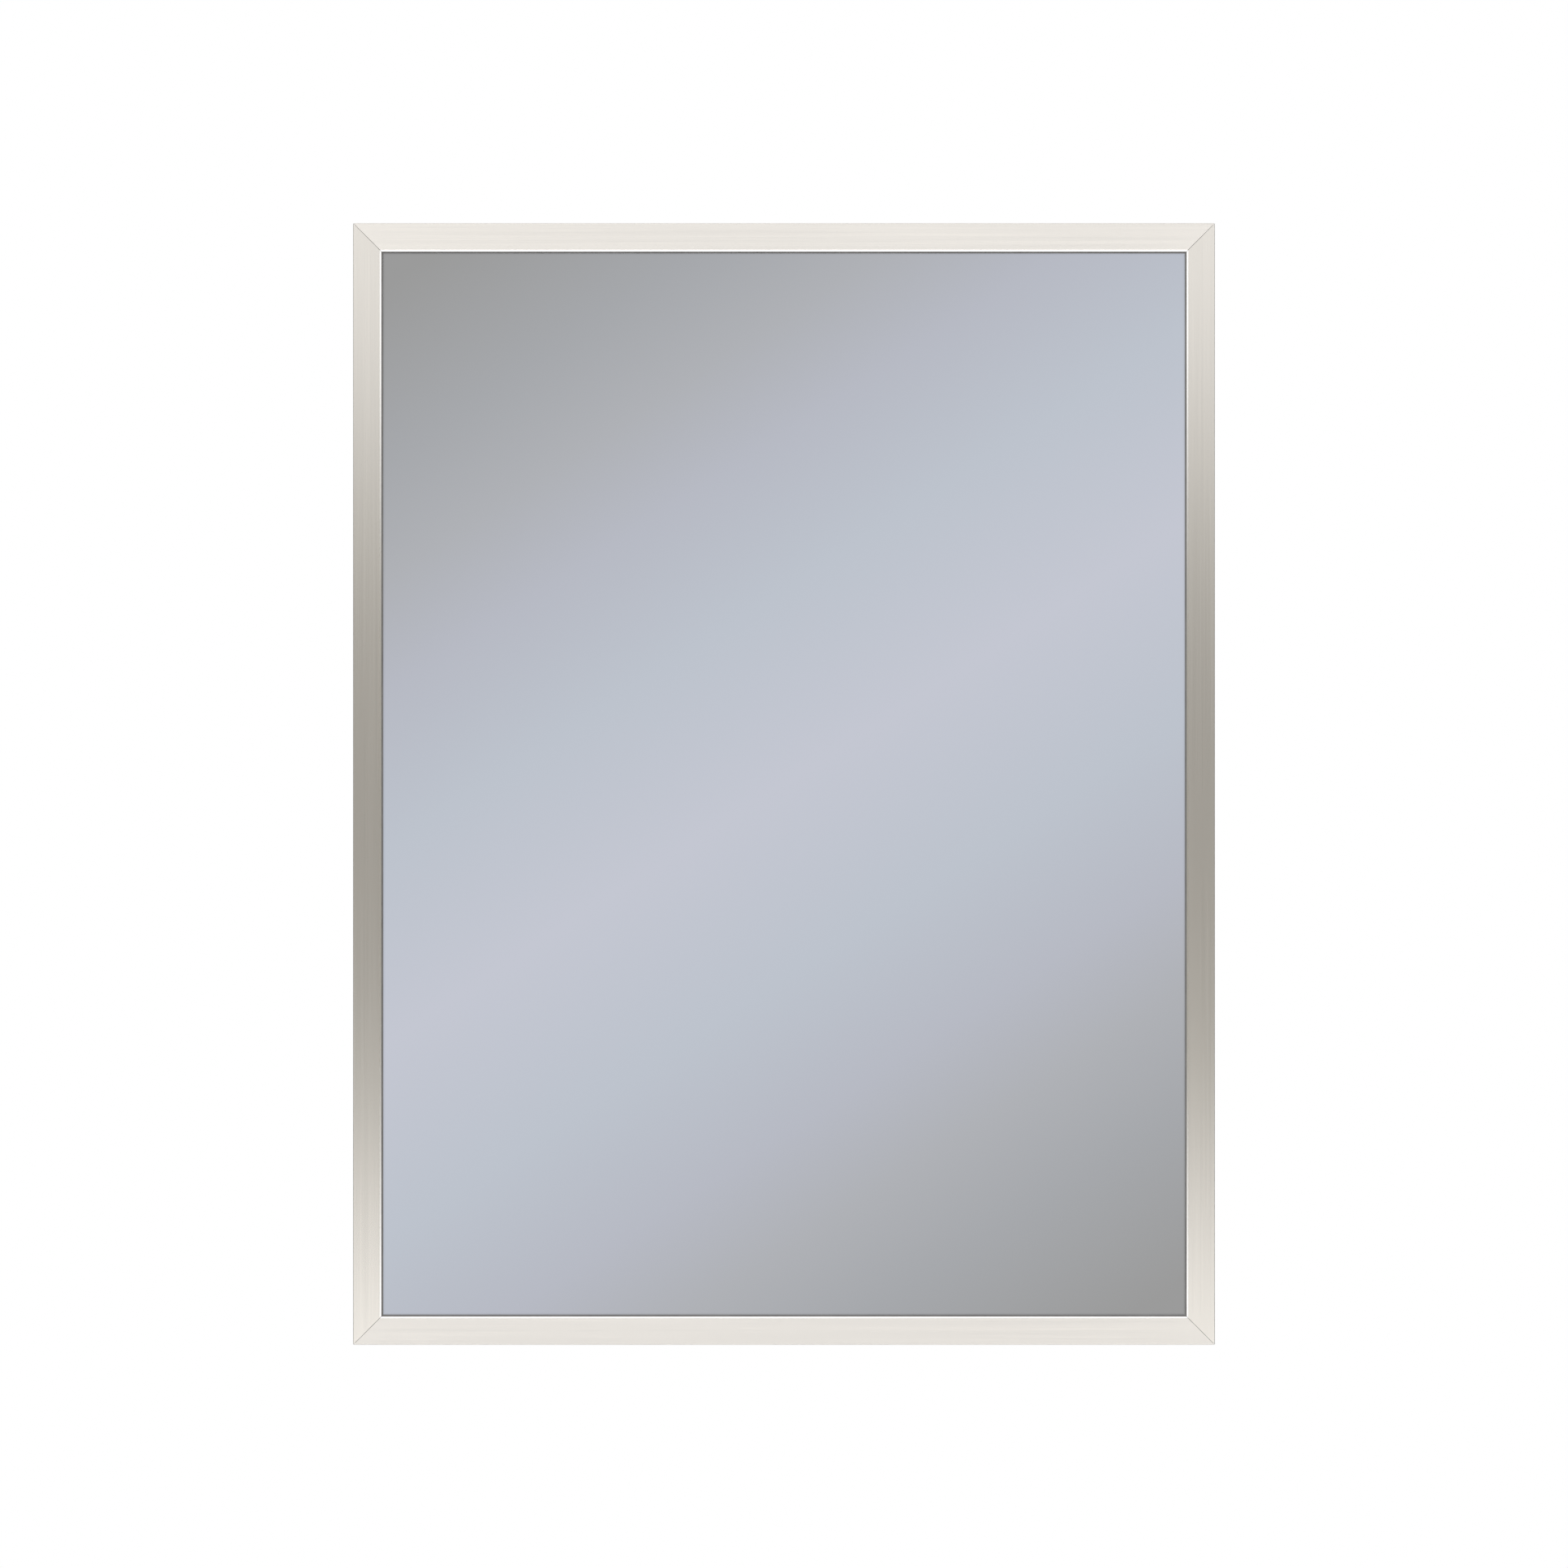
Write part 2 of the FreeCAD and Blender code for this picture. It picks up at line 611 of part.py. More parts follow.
def hinge_housing():
    """The pocket in the door that holds the pin, open to the back and towards the stile, at height 0."""
    half = POCKET_H / 2
    left, right = from_door_edge(WEB_T + FIT_GAP), from_door_edge(HOUSING_IN)
    y = (door_y(HOUSING_FRONT), door_y(LIP_FRONT))
    body = box((left, right), y, (-half - CHEEK, half + CHEEK))
    plate_x = (from_door_edge(LIP + FIT_GAP), from_door_edge(HOUSING_PLATE_IN))
    plate_half = HOUSING_PLATE_H / 2
    plate = box(plate_x, (door_y(LIP_FRONT), door_y(HOUSING_TOP)), (-plate_half, plate_half))
    far = edges_at(plate, x=plate_x[1], z=plate_half) + edges_at(plate, x=plate_x[1], z=-plate_half)
    plate = plate.makeFillet(HOUSING_PLATE_R, far)
    inside = box(
        (left - SMALL, right - HOUSING_WALL),
        (door_y(HOUSING_FRONT + HOUSING_WALL), door_y(DOOR_T)),
        (-half, half),
    )
    bore = rod(PIN_R, (PIN_X, PIN_Y, -half - CHEEK - SMALL), (PIN_X, PIN_Y, half + CHEEK + SMALL))
    seat = countersink(HOUSING_SCREW["r"], HOUSING_SCREW["head_r"], HOUSING_PLATE_T + SMALL)
    seats = [placed(seat, (from_door_edge(a), door_y(HOUSING_TOP), b), Y) for a, b in HOUSING_SCREWS]
    return fused([body, plate]).cut([inside, bore, *seats])


def hinge_pin():
    half = POCKET_H / 2 + CHEEK
    return rod(PIN_R, (PIN_X, PIN_Y, -half), (PIN_X, PIN_Y, half))


def housing_screws():
    screw = flat_screw(**HOUSING_SCREW)
    return group(
        [
            placed(screw, (from_door_edge(a), door_y(HOUSING_TOP), h + b), Y)
            for h in (-HINGE_Z, HINGE_Z)
            for a, b in HOUSING_SCREWS
        ]
    )


# ---- magnetic catches, on the right at the hinges' heights ----

CATCH_X = (IN_X - 12.0, IN_X)
CATCH_Y = (DOOR_BACK + 1.0, DOOR_BACK + 16.0)
CATCH_HALF = 22.0
CATCH_WALL = 1.5
CATCH_R = 2.5
POLE_T = 1.2
POLE_FRONT = DOOR_BACK - 0.4
MAGNET_REAR = DOOR_BACK + 11.0
MAGNET_HALF = 17.0
MAGNET_X = (CATCH_X[0] + CATCH_WALL, CATCH_X[1] - CATCH_WALL)
STRIKE_X = (CATCH_X[0] - 2.0, CATCH_X[1] + 1.0)
STRIKE_T = 1.2
STRIKE_R = 3.0


def catch_housing():
    """The moulded case of a magnetic catch, with a wing at each end for its screws, at height 0."""
    case = box(CATCH_X, CATCH_Y, (-CATCH_HALF, CATCH_HALF))
    case = case.makeFillet(CATCH_R, edges_at(case, x=CATCH_X[0], y=CATCH_Y[1]))
    y, reach = CATCH_SCREW_Y, CATCH_SCREW_DZ + CATCH_WING_HALF
    wings = box(
        (IN_X - CATCH_WING_T, IN_X),
        (y - CATCH_WING_HALF, y + CATCH_WING_HALF),
        (-reach, reach),
    )
    slot = box(MAGNET_X, (CATCH_Y[0] - SMALL, MAGNET_REAR), (-MAGNET_HALF, MAGNET_HALF))
    holes = [
        rod(CATCH_SCREW_R, (IN_X - CATCH_WING_T - SMALL, y, z), (IN_X + SMALL, y, z))
        for z in (-CATCH_SCREW_DZ, CATCH_SCREW_DZ)
    ]
    return fused([case, wings]).cut([slot, *holes])


def catch_pole_plates():
    """The two steel plates beside the magnet, which stand out to meet the strike, at height 0."""
    left, right = MAGNET_X
    sides = ((left, left + POLE_T), (right - POLE_T, right))
    return group([box(x, (POLE_FRONT, MAGNET_REAR), (-MAGNET_HALF, MAGNET_HALF)) for x in sides])


def catch_magnet():
    """The bar magnet between the pole plates, at height 0."""
    x = (MAGNET_X[0] + POLE_T, MAGNET_X[1] - POLE_T)
    return box(x, (CATCH_Y[0], MAGNET_REAR), (-MAGNET_HALF, MAGNET_HALF))


def catch_screws():
    screw = pan_screw(CATCH_SCREW_R, CATCH_SCREW_HEAD_R, CATCH_SCREW_HEAD_T, CATCH_WING_T + SHEET)
    return group(
        [
            placed(screw, (IN_X - CATCH_WING_T, CATCH_SCREW_Y, h + s * CATCH_SCREW_DZ), -X)
            for h in (-HINGE_Z, HINGE_Z)
            for s in (-1, 1)
        ]
    )


def strike():
    """The steel plate on the back of the door that the magnet holds, at height 0."""
    y = (door_y(LIP_FRONT), door_y(LIP_FRONT + STRIKE_T))
    plate = box(STRIKE_X, y, (-CATCH_HALF, CATCH_HALF))
    corners = [e for x in STRIKE_X for z in (-CATCH_HALF, CATCH_HALF) for e in edges_at(plate, x=x, z=z)]
    return plate.makeFillet(STRIKE_R, corners)


# ---- door ----


def frame_outline():
    """The frame's section, as (in, deep) points."""
    return [
        (EDGE, 0),
        (FACE - BEVEL_IN, 0),
        (FACE, BEVEL_DEEP),
        (FACE, FACE_T),
        (WEB_T, FACE_T),
        (WEB_T, LIP_FRONT),
        (LIP, LIP_FRONT),
        (LIP, DOOR_T - EDGE),
        (LIP - EDGE, DOOR_T),
        (EDGE, DOOR_T),
        (0, DOOR_T - EDGE),
        (0, EDGE),
    ]


def frame_bar(length, across):
    """A mitred bar in the bottom position, for a door that measures this much along it and across it."""
    edge = -across / 2
    points = [(-length / 2, door_y(d), edge + i) for i, d in frame_outline()]
    bar = prism(points, V(length, 0, 0))
    half = length / 2 - MITRE_GAP / math.sqrt(2)
    depth = FACE + SMALL
    y = door_y(-SMALL)
    mitred = prism(
        [
            (-half, y, edge),
            (half, y, edge),
            (half - depth, y, edge + depth),
            (-half + depth, y, edge + depth),
        ],
        V(0, DOOR_T + 2 * SMALL, 0),
    )
    seat = countersink(KEY_SCREW["r"], KEY_SCREW["head_r"], WEB_T + SMALL)
    at = length / 2 - KEY_SCREW_ALONG
    seats = [placed(seat, (s * at, door_y(KEY_SCREW_DEEP), edge), -Z) for s in (-1, 1)]
    return bar.common(mitred).cut(seats)


def door_bars():
    """The four bars by name."""
    across = frame_bar(DOOR_W, DOOR_H)
    upright = frame_bar(DOOR_H, DOOR_W)
    x = (from_door_edge(WEB_T), from_door_edge(LIP + SMALL))
    y = (door_y(LIP_FRONT), door_y(DOOR_T + SMALL))
    half = POCKET_H / 2 + NOTCH_CLEAR
    notches = [box(x, y, (h - half, h + half)) for h in (-HINGE_Z, HINGE_Z)]
    return {
        "door_bottom_rail": across,
        "door_top_rail": turned(across, 180),
        "door_left_stile": turned(upright, 90).cut(notches),
        "door_right_stile": turned(upright, -90),
    }


def corner_key(sx, sz):
    """The flat angle that joins two bars inside their channels."""
    x, z = DOOR_W / 2 - WEB_T, DOOR_H / 2 - WEB_T
    deep = (door_y(KEY_SCREW_DEEP - KEY_W / 2), door_y(KEY_SCREW_DEEP + KEY_W / 2))
    upright = box((x - KEY_T, x), deep, (z - KEY_LEG, z))
    level = box((x - KEY_LEG, x), deep, (z - KEY_T, z))
    y = door_y(KEY_SCREW_DEEP)
    r = KEY_SCREW["r"]
    at_x, at_z = DOOR_W / 2 - KEY_SCREW_ALONG, DOOR_H / 2 - KEY_SCREW_ALONG
    holes = [
        rod(r, (x - KEY_T - SMALL, y, at_z), (x + SMALL, y, at_z)),
        rod(r, (at_x, y, z - KEY_T - SMALL), (at_x, y, z + SMALL)),
    ]
    key = fused([upright, level]).cut(holes)
    if sx < 0:
        key = mirrored(key, X)
    return key if sz > 0 else mirrored(key, Z)


def key_screws():
    screw = flat_screw(**KEY_SCREW)
    y = door_y(KEY_SCREW_DEEP)
    along_x, along_z = DOOR_W / 2 - KEY_SCREW_ALONG, DOOR_H / 2 - KEY_SCREW_ALONG
    made = []
    for sx in (-1, 1):
        for sz in (-1, 1):
            made.append(placed(screw, (sx * DOOR_W / 2, y, sz * along_z), V(sx, 0, 0)))
            made.append(placed(screw, (sx * along_x, y, sz * DOOR_H / 2), V(0, 0, sz)))
    return group(made)


def glass_seal():
    """The dark seal between the frame's face and the glass, with a bead that shows inside the face."""
    def ring(outer, inner, deep_from, deep_to):
        y = (door_y(deep_from), door_y(deep_to))
        ox, oz = DOOR_W / 2 - outer, DOOR_H / 2 - outer
        ix, iz = DOOR_W / 2 - inner, DOOR_H / 2 - inner
        return box((-ox, ox), y, (-oz, oz)).cut(box((-ix, ix), y, (-iz, iz)))

    flat = ring(PANEL_IN + SEAL_TUCK, FACE + SEAL_SHOWN, FACE_T, SEAL_DEEP)
    bead = ring(FACE, FACE + SEAL_SHOWN, SEAL_DEEP - SEAL_BEAD, SEAL_DEEP)
    return fused([flat, bead])


def door_mirror():
    return mirror_sheet(FILLING_X, (door_y(SEAL_DEEP), door_y(GLASS_BACK)), FILLING_Z)


def hinge_pockets(deep_from, deep_to):
    """What the hinge housings need cut out of the door's filling, between two depths."""
    y = (door_y(deep_from), door_y(deep_to))
    x = (from_door_edge(0), from_door_edge(HOUSING_IN + POCKET_CLEAR))
    half = POCKET_H / 2 + CHEEK + POCKET_CLEAR
    return [box(x, y, (h - half, h + half)) for h in (-HINGE_Z, HINGE_Z)]


def housing_screw_holes():
    start, end = door_y(HOUSING_TOP), door_y(HOUSING_TOP - HOUSING_SCREW["length"])
    return [
        rod(HOUSING_SCREW["r"], (from_door_edge(a), start, h + b), (from_door_edge(a), end, h + b))
        for h in (-HINGE_Z, HINGE_Z)
        for a, b in HOUSING_SCREWS
    ]


def door_core():
    """The board between the two mirrors."""
    y = (door_y(GLASS_BACK), door_y(CORE_BACK))
    board = box((-FILLING_X, FILLING_X), y, (-FILLING_Z, FILLING_Z))
    return board.cut(hinge_pockets(GLASS_BACK - SMALL, CORE_BACK + SMALL) + housing_screw_holes())


def inner_mirror():
    sheet = mirror_sheet(FILLING_X, (door_y(CORE_BACK), door_y(LIP_FRONT)), FILLING_Z)
    return sheet.cut(hinge_pockets(CORE_BACK - SMALL, LIP_FRONT + SMALL) + housing_screw_holes())


BUMPER_R, BUMPER_ROUND = 4.0, 1.8
BUMPER_Z = 340.0
BUMPER_GAP = 0.1  # what is left to the body's front edge


def bumper(z):
    """A soft dome on the back of the door that meets the body's front edge."""
    x = BODY_X - SHEET / 2
    rise = DOOR_GAP + LIP_T - BUMPER_GAP
    dome = Part.makeCylinder(BUMPER_R, rise)
    top = [e for e in dome.Edges if e.BoundBox.ZMin > rise - 0.01 and e.Closed]
    return placed(dome.makeFillet(BUMPER_ROUND, top[:1]), (x, door_y(LIP_FRONT), z), Y)


# ---- the nodes ----


def build_body():
    save("left_side_panel", riveted(side_panel(-1)))
    save("right_side_panel", riveted(side_panel(1)))
    save("top_panel", riveted(end_panel(1)))
    save("bottom_panel", riveted(end_panel(-1)))
    save("back_panel", back_panel())
    save("back_rivets", back_rivets())
    save("body_corner_screws", corner_screws())
    save("upper_mounting_rail", mounting_rail(1))
    save("lower_mounting_rail", mounting_rail(-1))
    save("back_board", back_board())
    save("back_mirror", back_mirror())


def build_shelves():
    for side, side_name in ((-1, "left"), (1, "right")):
        for place, y in STANDARD_Y.items():
            save(f"{side_name}_{place}_shelf_standard", standard(side, y))
    save("shelf_standard_screws", standard_screws())
    for name, z in zip(SHELF_NAMES, SHELF_PINS_Z):
        save(f"{name}_shelf", shelf(z))
        save(f"{name}_shelf_supports", supports(z))
    save("shelf_support_pads", shelf_pads())


def build_hinges_and_catches():
    pieces = {
        "hinge_arm": hinge_arm(),
        "hinge_base": hinge_base(),
        "hinge_housing": hinge_housing(),
        "hinge_pin": hinge_pin(),
        "catch_housing": catch_housing(),
        "catch_pole_plates": catch_pole_plates(),
        "catch_magnet": catch_magnet(),
        "door_strike": strike(),
    }
    for name, shape in pieces.items():
        save(f"upper_{name}", lifted(shape, HINGE_Z))
        save(f"lower_{name}", lifted(shape, -HINGE_Z))
    save("hinge_base_screws", hinge_base_screws())
    save("hinge_clamp_screws", hinge_clamp_screws())
    save("hinge_adjusting_screws", hinge_adjusting_screws())
    save("hinge_housing_screws", housing_screws())
    save("catch_screws", catch_screws())


def build_door():
    for name, bar in door_bars().items():
        save(name, bar)
    for sx, side in ((-1, "left"), (1, "right")):
        for sz, end in ((1, "upper"), (-1, "lower")):
            save(f"{end}_{side}_corner_key", corner_key(sx, sz))
    save("corner_key_screws", key_screws())
    save("door_mirror", door_mirror())
    save("glass_seal", glass_seal())
    save("door_core", door_core())
    save("inner_mirror", inner_mirror())
    save("upper_door_bumper", bumper(BUMPER_Z))
    save("lower_door_bumper", bumper(-BUMPER_Z))


os.makedirs("parts", exist_ok=True)
build_body()
build_shelves()
build_hinges_and_catches()
build_door()
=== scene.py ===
import math

import bmesh
import bpy
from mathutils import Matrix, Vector


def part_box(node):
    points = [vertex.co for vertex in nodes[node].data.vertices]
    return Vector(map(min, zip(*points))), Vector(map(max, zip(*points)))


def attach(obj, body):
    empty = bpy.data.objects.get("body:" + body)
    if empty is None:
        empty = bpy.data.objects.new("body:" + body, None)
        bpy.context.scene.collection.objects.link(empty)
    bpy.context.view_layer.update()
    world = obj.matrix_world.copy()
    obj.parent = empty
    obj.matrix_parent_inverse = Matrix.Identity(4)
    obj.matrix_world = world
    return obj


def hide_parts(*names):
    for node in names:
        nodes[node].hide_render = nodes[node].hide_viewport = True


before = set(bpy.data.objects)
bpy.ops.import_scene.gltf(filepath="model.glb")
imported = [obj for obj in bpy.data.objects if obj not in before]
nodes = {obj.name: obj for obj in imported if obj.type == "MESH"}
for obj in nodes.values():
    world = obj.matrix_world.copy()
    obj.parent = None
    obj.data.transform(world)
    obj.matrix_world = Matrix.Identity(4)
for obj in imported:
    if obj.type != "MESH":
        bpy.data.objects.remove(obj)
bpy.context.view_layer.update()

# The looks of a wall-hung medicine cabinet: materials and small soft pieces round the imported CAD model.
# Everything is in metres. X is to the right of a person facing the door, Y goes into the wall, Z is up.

MM = 0.001
scene = bpy.context.scene
scene.view_settings.view_transform = "Standard"

DOOR_LOW = Vector(map(min, zip(*(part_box(n)[0] for n in ("door_left_stile", "door_bottom_rail")))))
DOOR_HIGH = Vector(map(max, zip(*(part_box(n)[1] for n in ("door_right_stile", "door_top_rail")))))
DOOR_FRONT = DOOR_LOW.y
DOOR_HALF = Vector((DOOR_HIGH.x, 0, DOOR_HIGH.z))
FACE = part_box("door_left_stile")[1].x - DOOR_LOW.x  # width of the frame seen from the front
OPENING_HALF = min(abs(v.co.x) for v in nodes["glass_seal"].data.vertices)  # half the mirror that shows
SEAL_IN = DOOR_HALF.x - OPENING_HALF  # from the door's edge to the seal's inner edge

# Camera
LENS, SENSOR = 120.0, 36.0
FRAME_WIDTH = 1.068  # what the picture takes in at the door's front face
CAMERA_BACK = FRAME_WIDTH / SENSOR * LENS

# Floor
FLOOR_Z = -1.2
FLOOR_RADIUS = 3.3
FLOOR_FADE = (0.35, 0.97)  # where the floor starts to fade and where it is gone, as shares of its radius

# Colours that several places share
NICKEL = (0.80, 0.765, 0.71)
# painted highlight: the lighter colour that the polished bevels of the brushed metal are painted
BEVEL_HIGHLIGHT = (0.90, 0.885, 0.87, 1)
ALUMINIUM = (0.77, 0.78, 0.79)
SILVER = (0.87, 0.885, 0.895)

# Soft pieces
SEAL_FLANGE_T = 0.6 * MM
SEAL_ROUND = 0.5 * MM
PAD_CORNER = 1.6 * MM

# Studio. Places are in degrees, either round from straight behind the camera or up from the level. Each pair
# says where a light is gone and where it is full.
ROOM = [  # from straight down to straight up
    (0.00, (0.40, 0.40, 0.40, 1)),
    (0.35, (0.46, 0.46, 0.46, 1)),
    (0.50, (0.40, 0.40, 0.40, 1)),
    (0.70, (0.62, 0.62, 0.63, 1)),
    (1.00, (0.92, 0.92, 0.94, 1)),
]
WINDOW = (1.0, 1.0, 1.02, 1)
WINDOW_ROUND = (58, 84), (150, 118)  # its near and its far side
WINDOW_UP = (-16, 20), (74, 48)  # its foot and its top
WIDE, TALL = (1.62, 1.60), (1.94, 1.36)  # how bright the strips are below and above the camera
WIDE_ROUND, WIDE_UP = (50, 26), (17, 8)
TALL_ROUND, TALL_UP = (24, 10), (56, 32)
SLIT_COLOUR = (0.268, 0.245, 0.184, 1)
SLIT_UP = (5.4, 2.7)
DROP = 0.45  # how far the middles of the strips, the slit and the card are below the level
CARD_ROUND, CARD_UP = (7.5, 5), (10.5, 8.8)
BAND_TILT = math.radians(57)  # the band of light on the card runs from low left to high right
BAND_WIDTH = 0.125  # how far off its middle the band has faded, as a tangent


# ---- helpers for node trees ----


def linear(r, g, b):
    """A colour given in 0-255 display values, as Blender's linear values."""

    def channel(value):
        value /= 255
        return value / 12.92 if value <= 0.04045 else ((value + 0.055) / 1.055) ** 2.4

    return (channel(r), channel(g), channel(b), 1.0)


class Graph:
    """Builds the node tree of a material or world. Inputs are values or the outputs of other nodes."""

    def __init__(self, owner):
        owner.use_nodes = True
        self.tree = owner.node_tree
        self.tree.nodes.clear()

    def feed(self, socket, value):
        if isinstance(value, bpy.types.NodeSocket):
            self.tree.links.new(value, socket)
        else:
            socket.default_value = value

    def add(self, kind, inputs=None, **settings):
        node = self.tree.nodes.new("ShaderNode" + kind)
        for name, value in settings.items():
            setattr(node, name, value)
        for name, value in (inputs or {}).items():
            self.feed(node.inputs[name], value)
        return node

    def math(self, operation, *values):
        node = self.add("Math", operation=operation)
        for socket, value in zip(node.inputs, values):
            self.feed(socket, value)
        return node.outputs[0]

    def vector_math(self, operation, *values):
        node = self.add("VectorMath", operation=operation)
        for socket, value in zip(node.inputs, values):
            self.feed(socket, value)
        return node.outputs["Value" if operation in ("DOT_PRODUCT", "LENGTH") else "Vector"]

    def remap(self, value, low, high, to_low=0.0, to_high=1.0, kind="LINEAR"):
        inputs = {
            "Value": value,
            "From Min": low,
            "From Max": high,
            "To Min": to_low,
            "To Max": to_high,
        }
        return self.add("MapRange", inputs, interpolation_type=kind).outputs["Result"]

    def ramp(self, value, stops, kind="LINEAR"):
        """A colour ramp through (place, colour) stops."""
        node = self.add("ValToRGB", {"Fac": value})
        ramp = node.color_ramp
        ramp.interpolation = kind
        while len(ramp.elements) < len(stops):
            ramp.elements.new(0.5)
        for element, (place, colour) in zip(ramp.elements, stops):
            element.position = place
            element.color = colour
        return node.outputs["Color"]

    def mix(self, factor, a, b, blend="MIX"):
        node = self.add("Mix", data_type="RGBA", blend_type=blend)
        self.feed(node.inputs[0], factor)
        self.feed(node.inputs[6], a)
        self.feed(node.inputs[7], b)
        return node.outputs[2]

    def place(self, scale=(1, 1, 1)):
        """The point's place in the piece at rest, in metres, times a scale."""
        point = self.add("TexCoord").outputs["Object"]
        return self.vector_math("MULTIPLY", point, scale)

    def noise(self, scale, stretch=(1, 1, 1), detail=3.0, rough=0.55):
        """Noise whose features are 1/scale metres across, or less where stretch is over 1."""
        inputs = {"Vector": self.place(stretch), "Scale": scale, "Detail": detail, "Roughness": rough}
        return self.add("TexNoise", inputs).outputs["Fac"]

    def bump(self, height, distance, strength=1.0):
        inputs = {"Height": height, "Distance": distance, "Strength": strength}
        return self.add("Bump", inputs).outputs["Normal"]

    def rest_normal(self):
        """The surface's direction in the piece at rest."""
        world = self.add("NewGeometry").outputs["True Normal"]
        node = self.add("VectorTransform", {"Vector": world}, vector_type="NORMAL")
        node.convert_from, node.convert_to = "WORLD", "OBJECT"
        return self.add("SeparateXYZ", {"Vector": node.outputs[0]}).outputs

    def edge_mask(self, radius):
        """Near 1 on the sharp edges of a piece and 0 on its faces."""
        rounded = self.add("Bevel", {"Radius": radius}, samples=4).outputs["Normal"]
        flat = self.add("NewGeometry").outputs["Normal"]
        agreement = self.vector_math("DOT_PRODUCT", rounded, flat)
        return self.remap(agreement, 0.995, 0.85, 0.0, 1.0)

    def finish(self, shader):
        output = "World" if isinstance(self.tree.id_data, bpy.types.World) else "Material"
        self.add("Output" + output, {"Surface": shader})


def principled(name, build, **fixed):
    """A material with one Principled shader. build(graph) returns its linked or varied inputs."""
    material = bpy.data.materials.new(name)
    graph = Graph(material)
    inputs = {**build(graph), **{key.replace("_", " "): value for key, value in fixed.items()}}
    shader = graph.add("BsdfPrincipled", inputs)
    graph.finish(shader.outputs[0])
    return material


def paint(material, *names):
    for name in names:
        mesh = nodes[name].data
        mesh.materials.clear()
        mesh.materials.append(material)


def ending(*endings):
    return [name for name in nodes if name.endswith(endings)]


# ---- metals ----

AXES = {"x": Vector((1, 0, 0)), "y": Vector((0, 1, 0)), "z": Vector((0, 0, 1))}


def along(axis, fine, coarse):
    """A stretch that draws noise out along one axis."""
    return tuple(coarse if axis == a else fine for a in "xyz")


def bevel_mask(g):
    """1 on shallow bevels beside a front or back face, 0 elsewhere."""
    facing = g.math("ABSOLUTE", g.rest_normal()[1])
    return g.math("MULTIPLY", g.remap(facing, 0.985, 0.975), g.remap(facing, 0.92, 0.95))


def corner_mask(g):
    """1 on chamfers and roundings halfway between a front or back face and a side, 0 elsewhere."""
    facing = g.math("ABSOLUTE", g.rest_normal()[1])
    return g.math("MULTIPLY", g.remap(facing, 0.3, 0.5), g.remap(facing, 0.95, 0.85))


def brushed(name, colour, grain, across, roughness, anisotropy, streak=0.06, corner=1.0):
    """Metal brushed along the grain axis. Its bevels are polished smoother and painted lighter as a painted
    highlight, and its sharp edges carry a fainter painted highlight. The brushing spreads highlights along
    the across axis. corner is the outer corners' colour as a share of the faces', a painted shade on the
    chamfers and roundings."""

    def build(g):
        hairs = g.noise(1.0, along(grain, 3200.0, 9.0), detail=2.0)
        bands = g.noise(1.0, along(grain, 420.0, 2.5), detail=3.0)
        cloud = g.noise(7.0, detail=2.0)
        dark = tuple(c * (1 - streak) for c in colour) + (1.0,)
        light = tuple(min(c * (1 + streak * 0.5), 1.0) for c in colour) + (1.0,)
        tone = g.math("ADD", g.math("MULTIPLY", hairs, 0.6), g.math("MULTIPLY", bands, 0.4))
        base = g.mix(g.remap(tone, 0.3, 0.7), dark, light)
        # painted highlight: the sharp edges are lifted halfway towards the lighter colour
        base = g.mix(g.math("MULTIPLY", g.edge_mask(0.5 * MM), 0.5), base, light)
        # painted highlight on the bevels, which are lifted to a lighter colour. Their lower roughness further
        # down is real polish.
        polished_bevel_highlight = bevel_mask(g)
        base = g.mix(polished_bevel_highlight, base, BEVEL_HIGHLIGHT)
        # painted shade: the outer chamfers and roundings are darkened to corner times their colour
        painted_corner_shade = g.mix(1.0, base, (corner, corner, corner, 1), "MULTIPLY")
        base = g.mix(corner_mask(g), base, painted_corner_shade)
        wear = g.math("ADD", g.math("MULTIPLY", bands, 0.5), g.math("MULTIPLY", cloud, 0.5))
        rough = g.remap(wear, 0.3, 0.7, roughness * 0.93, roughness * 1.07)
        rough = g.math("MULTIPLY", rough, g.remap(polished_bevel_highlight, 0.0, 1.0, 1.0, 0.75))
        spread = g.add("VectorTransform", {"Vector": AXES[across]}, vector_type="VECTOR")
        spread.convert_from, spread.convert_to = "OBJECT", "WORLD"
        return {
            "Base Color": base,
            "Roughness": rough,
            "Normal": g.bump(hairs, 0.004 * MM, 0.6),
            "Tangent": spread.outputs[0],
        }

    return principled(name, build, Metallic=1.0, Anisotropic=anisotropy)


def plated(name, colour, roughness, mottle=0.08, grain=900.0):
    """Plated or cast metal with a faint mottle, and its edges painted brighter as a painted highlight."""

    def build(g):
        fine = g.noise(grain, detail=3.0)
        cloud = g.noise(60.0, detail=3.0)
        scratches = g.noise(1.0, (5000.0, 180.0, 700.0), detail=1.0)
        dark = tuple(c * (1 - mottle) for c in colour) + (1.0,)
        light = tuple(min(c * (1 + mottle), 1.0) for c in colour) + (1.0,)
        base = g.mix(g.remap(cloud, 0.35, 0.65), dark, light)
        # painted highlight: the sharp edges are lifted towards the lighter colour
        base = g.mix(g.math("MULTIPLY", g.edge_mask(0.4 * MM), 0.6), base, light)
        rough = g.remap(fine, 0.3, 0.7, roughness * 0.85, roughness * 1.2)
        rough = g.math("ADD", rough, g.math("MULTIPLY", g.remap(scratches, 0.62, 0.7), 0.08))
        return {
            "Base Color": base,
            "Roughness": rough,
            "Normal": g.bump(fine, 0.01 * MM, 0.5),
        }

    return principled(name, build, Metallic=1.0)


